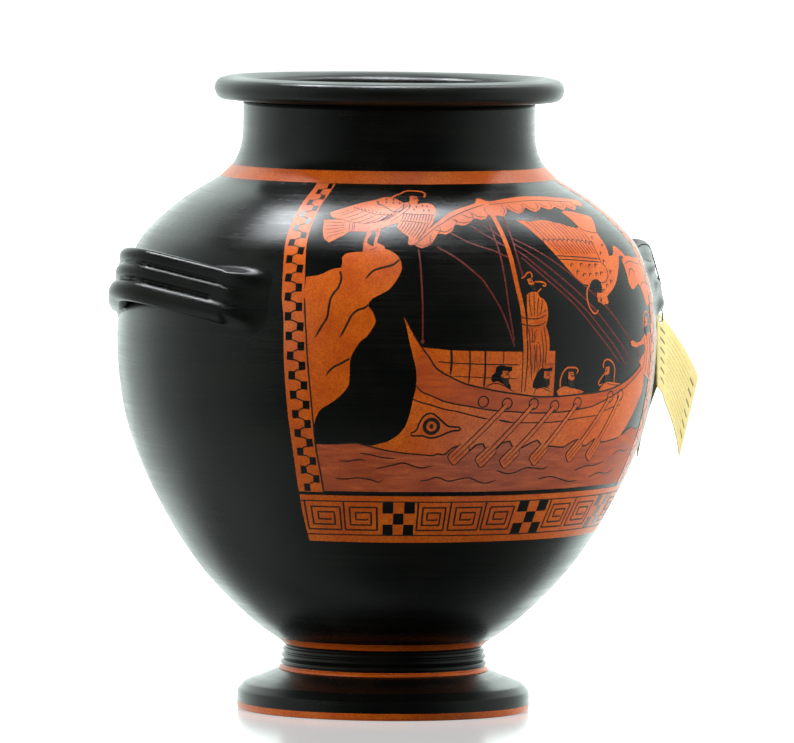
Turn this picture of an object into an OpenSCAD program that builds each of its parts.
// Wide-mouthed storage jar (stamnos) in black-gloss pottery, with two low
// three-reed loop handles and a folded card swing tag on a thread.
// Millimetres. +Z is up, the handles lie on +X and -X, the painted side faces -Y,
// and the origin is the centre of the foot's underside.

/* [Vase] */
// Height of the vase, foot to lip
vase_h = 340; // [320:5:360]
// Largest radius, at the belly
belly_r = 145; // [135:1:155]
// Height of the largest radius
belly_z = 198.5; // [190:0.5:205]
// Thickness of the thrown wall
wall = 6.5; // [5:0.5:8]

/* [Foot] */
// Radius of the foot disc
foot_r = 78; // [72:1:84]
// Height of the disc's upper edge
foot_edge_z = 14; // [12:1:16]
// Height at which the disc meets the stem
stem_z = 21.5; // [20:0.5:23]
// Height at which the stem meets the bowl
bowl_z = 37.5; // [36:0.5:39]
// Radius of the stem where it meets the disc
stem_r = 56; // [53:1:58]
// Radius of the hollow under the foot
hollow_r = 66; // [60:1:70]

/* [Mouth] */
// Radius of the mouth's straight bore
mouth_r = 72; // [68:1:74]
// Outer radius of the lip
lip_r = 93.8; // [90:0.2:98]
// Height of the lip ring
lip_h = 13; // [11:0.5:15]
// Height of the neck below the lip
neck_h = 30.5; // [28:0.5:34]

/* [Handles] */
// Distance of the bottom reed's centre line from the axis
handle_reach = 158.8; // [155:0.2:162]
// Height of the bottom reed at its furthest point
handle_z = 228.4; // [220:0.2:236]
// Upward tilt of the handle's plane
handle_tilt = 20; // [10:1:28]
// Angle that each leg turns back towards the wall
leg_angle = 30; // [26:1:32]
// Centre-line radius of the bow between the legs
bow_r = 34; // [30:1:38]
// Radii of the bottom, middle and top reeds
reed_r = [5.9, 4.5, 4.0];

/* [Tag] */
// Length of the card's folded edge
tag_w = 55; // [40:1:60]
// Length of each leaf
leaf_len = 56; // [45:1:60]
// Thickness of the card
card_t = 0.5; // [0.4:0.1:0.8]
// Diameter of the thread
thread_d = 0.8; // [0.6:0.1:1]

/* [Hidden] */
$fn = 96;

black_gloss = [0.09, 0.10, 0.10];
thread_grey = [0.20, 0.21, 0.19];
card_yellow = [0.98, 0.90, 0.55];

// ---- Curves -------------------------------------------------------------

// Point on the smooth curve through b and c, with a and d as its neighbours
function between(a, b, c, d, t) =
    0.5 * (2*b + (c - a)*t + (2*a - 5*b + 4*c - d)*t*t + (3*b - a - 3*c + d)*t*t*t);

// Smooth curve through a list of points, with a fixed number of steps a span
function smooth(p, steps) = let (last = len(p) - 1) concat(
    [for (i = [0:last - 1], k = [0:steps - 1])
        between(p[max(i - 1, 0)], p[i], p[i + 1], p[min(i + 2, last)], k / steps)],
    [p[last]]);

function unit(v) = v / norm(v);
function reversed(p) = [for (i = [len(p) - 1:-1:0]) p[i]];
function slice(p, first, last) = [for (i = [first:last]) p[i]];

// Direction of a curve at one of its points
function heading(p, i) = unit(p[min(i + 1, len(p) - 1)] - p[max(i - 1, 0)]);

// The curve moved towards the axis by a distance, along its normals
function inset(p, distance) = [for (i = [0:len(p) - 1])
    let (h = heading(p, i)) p[i] + distance * [-h[1], h[0]]];

// ---- Vase outline -------------------------------------------------------

lip_z = vase_h - lip_h;
neck_z = lip_z - neck_h;
neck_r = mouth_r + wall;
span_steps = 4;

// Share of the belly's radius, and share of the height from bowl to belly
bowl_shares = [[0.388, 0], [0.49, 0.066], [0.644, 0.2], [0.755, 0.333], [0.842, 0.467],
               [0.912, 0.6], [0.963, 0.733], [0.99, 0.867]];
// Share of the belly's radius, and share of the height from belly to neck
shoulder_shares = [[1, 0], [0.996, 0.11], [0.984, 0.28], [0.939, 0.484],
                   [0.885, 0.604], [0.76, 0.77], [0.618, 0.902]];
// Extra radius over the neck's waist, and height above the neck's root
neck_steps = [[3.2, 0], [0.4, 9.5], [0, 18.5], [0, neck_h]];

outline_points = concat(
    [for (s = bowl_shares) [s[0] * belly_r, bowl_z + s[1] * (belly_z - bowl_z)]],
    [for (s = shoulder_shares) [s[0] * belly_r, belly_z + s[1] * (neck_z - belly_z)]],
    [for (s = neck_steps) [neck_r + s[0], neck_z + s[1]]]);
outside = smooth(outline_points, span_steps);
inside = inset(outside, wall);

belly_at = len(bowl_shares) * span_steps;
neck_at = (len(bowl_shares) + len(shoulder_shares)) * span_steps;
lip_at = len(outside) - 1;

// ---- Vase parts ---------------------------------------------------------

module foot_disc() {
    edge_bulge = 0.6;
    side = [for (a = [-90:30:60]) [foot_r + edge_bulge * cos(a), 5.4 + 5.4 * sin(a)]];
    color(black_gloss)
        rotate_extrude() polygon(concat(
            [[hollow_r, 0]],
            side,
            [[foot_r - 3, foot_edge_z], [stem_r, stem_z], [46, stem_z], [50, 12]]));
}

module stem_collar() {
    ribs = [[stem_r - 1.1, 23], [stem_r - 2.8, 27], [stem_r - 1.9, 29.5], [stem_r - 3.8, 33.9]];
    color(black_gloss)
        rotate_extrude() polygon(concat(
            [[46, stem_z], [stem_r, stem_z]],
            ribs,
            [[outside[0][0], bowl_z], [44, bowl_z]]));
}

module lower_body() {
    floor_z = bowl_z + wall + 1;
    wall_inside = [for (p = slice(inside, 0, belly_at)) if (p[1] > floor_z + 1) p];
    color(black_gloss)
        rotate_extrude() polygon(concat(
            [[0, bowl_z]],
            slice(outside, 0, belly_at),
            reversed(wall_inside),
            [[wall_inside[0][0] - 5, floor_z], [0, floor_z]]));
}

module shoulder() {
    color(black_gloss)
        rotate_extrude() polygon(concat(
            slice(outside, belly_at, neck_at),
            reversed(slice(inside, belly_at, neck_at))));
}

module neck() {
    flare = 2;
    color(black_gloss)
        rotate_extrude() polygon(concat(
            slice(outside, neck_at, lip_at),
            [[mouth_r + flare, lip_z], [mouth_r, lip_z - 7], [mouth_r, neck_z + 3.5]],
            [inside[neck_at]]));
}

module lip_ring() {
    half_h = 5.6;
    mid_z = vase_h - 1 - half_h;
    bulge = 4.5;
    rim = [for (a = [-90:15:90]) [lip_r - bulge + bulge * cos(a), mid_z + half_h * sin(a)]];
    color(black_gloss)
        rotate_extrude() polygon(concat(
            [[mouth_r + 2, lip_z], [neck_r, lip_z]],
            rim,
            [[lip_r - 8, vase_h], [lip_r - 11, vase_h - 0.3], [mouth_r + 8, vase_h - 2]]));
}

// The outside of the wall, filled in, to cut handle parts to its surface
module vase_solid() {
    around = slice(outside, 4 * span_steps, neck_at);
    rotate_extrude() polygon(concat(
        [[0, around[0][1]]], around, [[0, neck_z]]));
}

// ---- Handles ------------------------------------------------------------

leg_len = 46;
// Distance outwards and height over the bottom reed, for each reed
reed_places = [
    [0, 0],
    [1.2, reed_r[0] + reed_r[1]],
    [2.5, reed_r[0] + 2 * reed_r[1] + reed_r[2]]
];
pad_angle = 27;
pad_z = 227;
pad_ball_r = 30;
pad_depth = 24.5;

// Frame of a handle's plane, with its origin at the bottom reed's furthest point
module in_handle_plane() {
    translate([handle_reach, 0, handle_z])
        rotate([0, -handle_tilt, 0])
            children();
}

// A straight leg with a round end, and a short core that ties it into the bow
module reed_leg(r) {
    cylinder(r = r, h = leg_len);
    translate([0, 0, leg_len]) sphere(r = r);
    translate([0, 0, -1]) cylinder(r = r - 1, h = 2);
}

// One reed: a bow with two straight legs that run back to the wall
module reed_bar(i) {
    in_handle_plane()
        translate([reed_places[i][0] - bow_r, 0, reed_places[i][1]]) {
            rotate([0, 0, -leg_angle])
                rotate_extrude(angle = 2 * leg_angle)
                    translate([bow_r, 0]) circle(r = reed_r[i]);
            for (side = [0, 1])
                mirror([0, side, 0])
                    rotate([0, 0, leg_angle])
                        translate([bow_r, 0, 0])
                            rotate([-90, 0, 0])
                                reed_leg(reed_r[i]);
        }
}

// The ball whose cap stands out of the wall as the flattened end of a handle
module pad_ball(side) {
    rotate([0, 0, side * pad_angle])
        translate([belly_r * 0.98 - pad_depth, 0, pad_z])
            sphere(r = pad_ball_r);
}

module handle_reed(mirrored, i) {
    color(black_gloss)
        mirror([mirrored, 0, 0])
            difference() {
                reed_bar(i);
                vase_solid();
                pad_ball(1);
                pad_ball(-1);
            }
}

module handle_root(mirrored, side) {
    color(black_gloss)
        mirror([mirrored, 0, 0])
            difference() {
                pad_ball(side);
                vase_solid();
            }
}

// ---- Thread and tag -----------------------------------------------------

// Frame of the place on the right handle's front leg where the thread is tied:
// +X points away from the wall, +Y back along the leg, +Z up across the reeds
module at_hitch() {
    in_handle_plane()
        translate([-bow_r, 0, 0])
            rotate([0, 0, -leg_angle])
                translate([bow_r, -2, 0])
                    children();
}

// Closed route of the thread round the three reeds
thread_r = thread_d / 2;
hitch_gap = thread_r + 0.25;
hitch_route = concat(
    [for (a = [-180:15:0]) [(reed_r[0] + hitch_gap) * cos(a), 0, (reed_r[0] + hitch_gap) * sin(a)]],
    [for (a = [0:15:180])
        [reed_places[2][0] * cos(leg_angle) + (reed_r[2] + hitch_gap) * cos(a), 0,
         reed_places[2][1] + (reed_r[2] + hitch_gap) * sin(a)]],
    [[-4.2, 0, 10.4]]);

// Knot, where the tag swings, and the tag's turn about +Z
knot_at = [146.6, 60.5, 219];
tag_turn = -30;
knot_r = 1.3;

// Open route of the thread from the knot, through both leaves and back up
tag_route = [
    [0.7, 0, -1.3], [1.3, 0, -2.6], [1.9, 0, -4.2], [2.4, 0, -6], [2.7, 0, -7.8],
    [2.9, 0, -9.4], [3.0, 0, -10.8], [2.6, 0, -11.8], [1.6, 0, -12.2], [0, 0, -12.2],
    [-1.6, 0, -12.2], [-3.2, 0, -12.2], [-4.2, 0, -11.7], [-4.6, 0, -10.6], [-4.3, 0, -9],
    [-3.7, 0, -7], [-2.9, 0, -5], [-1.9, 0, -3.2], [-0.9, 0, -1.5]
];
hole_z = -12.2;
hole_r = 2;
hole_inset = 4.2;
fold_tilt = 45;
outer_start_angle = 32;
inner_start_angle = -13;
leaf_bend_r = 125;
// Distance of each leaf's edge from the fold line, so that the leaves clear each other
fold_gap = 1.4;

// Tube of eight sides swept along a route, closed into a ring when loop is true
module swept_tube(route, r, loop = false) {
    sides = 8;
    n = len(route);
    function dir(i) = loop
        ? unit(route[(i + 1) % n] - route[(i + n - 1) % n])
        : heading(route, i);
    across = [0, 1, 0];
    points = [for (i = [0:n - 1], k = [0:sides - 1])
        let (a = k * 360 / sides)
        route[i] + r * (cos(a) * across + sin(a) * unit(cross(dir(i), across)))];
    walls = [for (i = [0:(loop ? n - 1 : n - 2)], k = [0:sides - 1])
        let (m = (k + 1) % sides, j = (i + 1) % n)
        [i * sides + k, i * sides + m, j * sides + m, j * sides + k]];
    ends = loop ? [] : [
        [for (k = [sides - 1:-1:0]) k],
        [for (k = [0:sides - 1]) (n - 1) * sides + k]];
    polyhedron(points, concat(walls, ends));
}

module string_hitch() {
    color(thread_grey) at_hitch() swept_tube(hitch_route, thread_r, loop = true);
}

module at_knot() {
    rotate([0, 0, tag_turn]) translate(knot_at) children();
}

module string_knot() {
    color(thread_grey) at_knot() sphere(r = knot_r);
}

module tag_string() {
    color(thread_grey) at_knot() swept_tube(tag_route, thread_r);
}

// Frame of the card's fold: +Z runs down the fold from its upper end, +X points
// away from the wall and +Y runs out along the leaves
module at_fold() {
    at_knot()
        translate([-0.6, 0, hole_z])
            rotate([-fold_tilt, 0, 0])
                mirror([0, 0, 1])
                    translate([0, -hole_inset, -hole_inset])
                        children();
}

// A leaf of card that leaves the fold at an angle and bends back from it
module leaf(start_angle, bend) {
    turn = leaf_len / leaf_bend_r * 180 / PI;
    function spot(s, side) =
        let (a = start_angle - bend * s * turn / 2,
             chord = fold_gap + s * leaf_len,
             tip = start_angle - bend * s * turn)
        [chord * sin(a) + side * card_t / 2 * cos(tip), chord * cos(a) - side * card_t / 2 * sin(tip)];
    steps = 10;
    difference() {
        linear_extrude(height = tag_w)
            polygon(concat(
                [for (k = [0:steps]) spot(k / steps, 1)],
                [for (k = [steps:-1:0]) spot(k / steps, -1)]));
        translate([0, hole_inset, hole_inset])
            rotate([0, 90, 0])
                cylinder(r = hole_r, h = 20, center = true);
    }
}

module tag_outer_leaf() {
    color(card_yellow) at_fold() leaf(outer_start_angle, 1);
}

module tag_inner_leaf() {
    color(card_yellow) at_fold() leaf(inner_start_angle, -0.3);
}

foot_disc();
stem_collar();
lower_body();
shoulder();
neck();
lip_ring();
handle_reed(1, 0);  // left_handle_bottom_reed
handle_reed(1, 1);  // left_handle_middle_reed
handle_reed(1, 2);  // left_handle_top_reed
handle_root(1, -1);  // left_handle_front_root
handle_root(1, 1);  // left_handle_back_root
handle_reed(0, 0);  // right_handle_bottom_reed
handle_reed(0, 1);  // right_handle_middle_reed
handle_reed(0, 2);  // right_handle_top_reed
handle_root(0, -1);  // right_handle_front_root
handle_root(0, 1);  // right_handle_back_root
string_hitch();
string_knot();
tag_string();
tag_outer_leaf();
tag_inner_leaf();
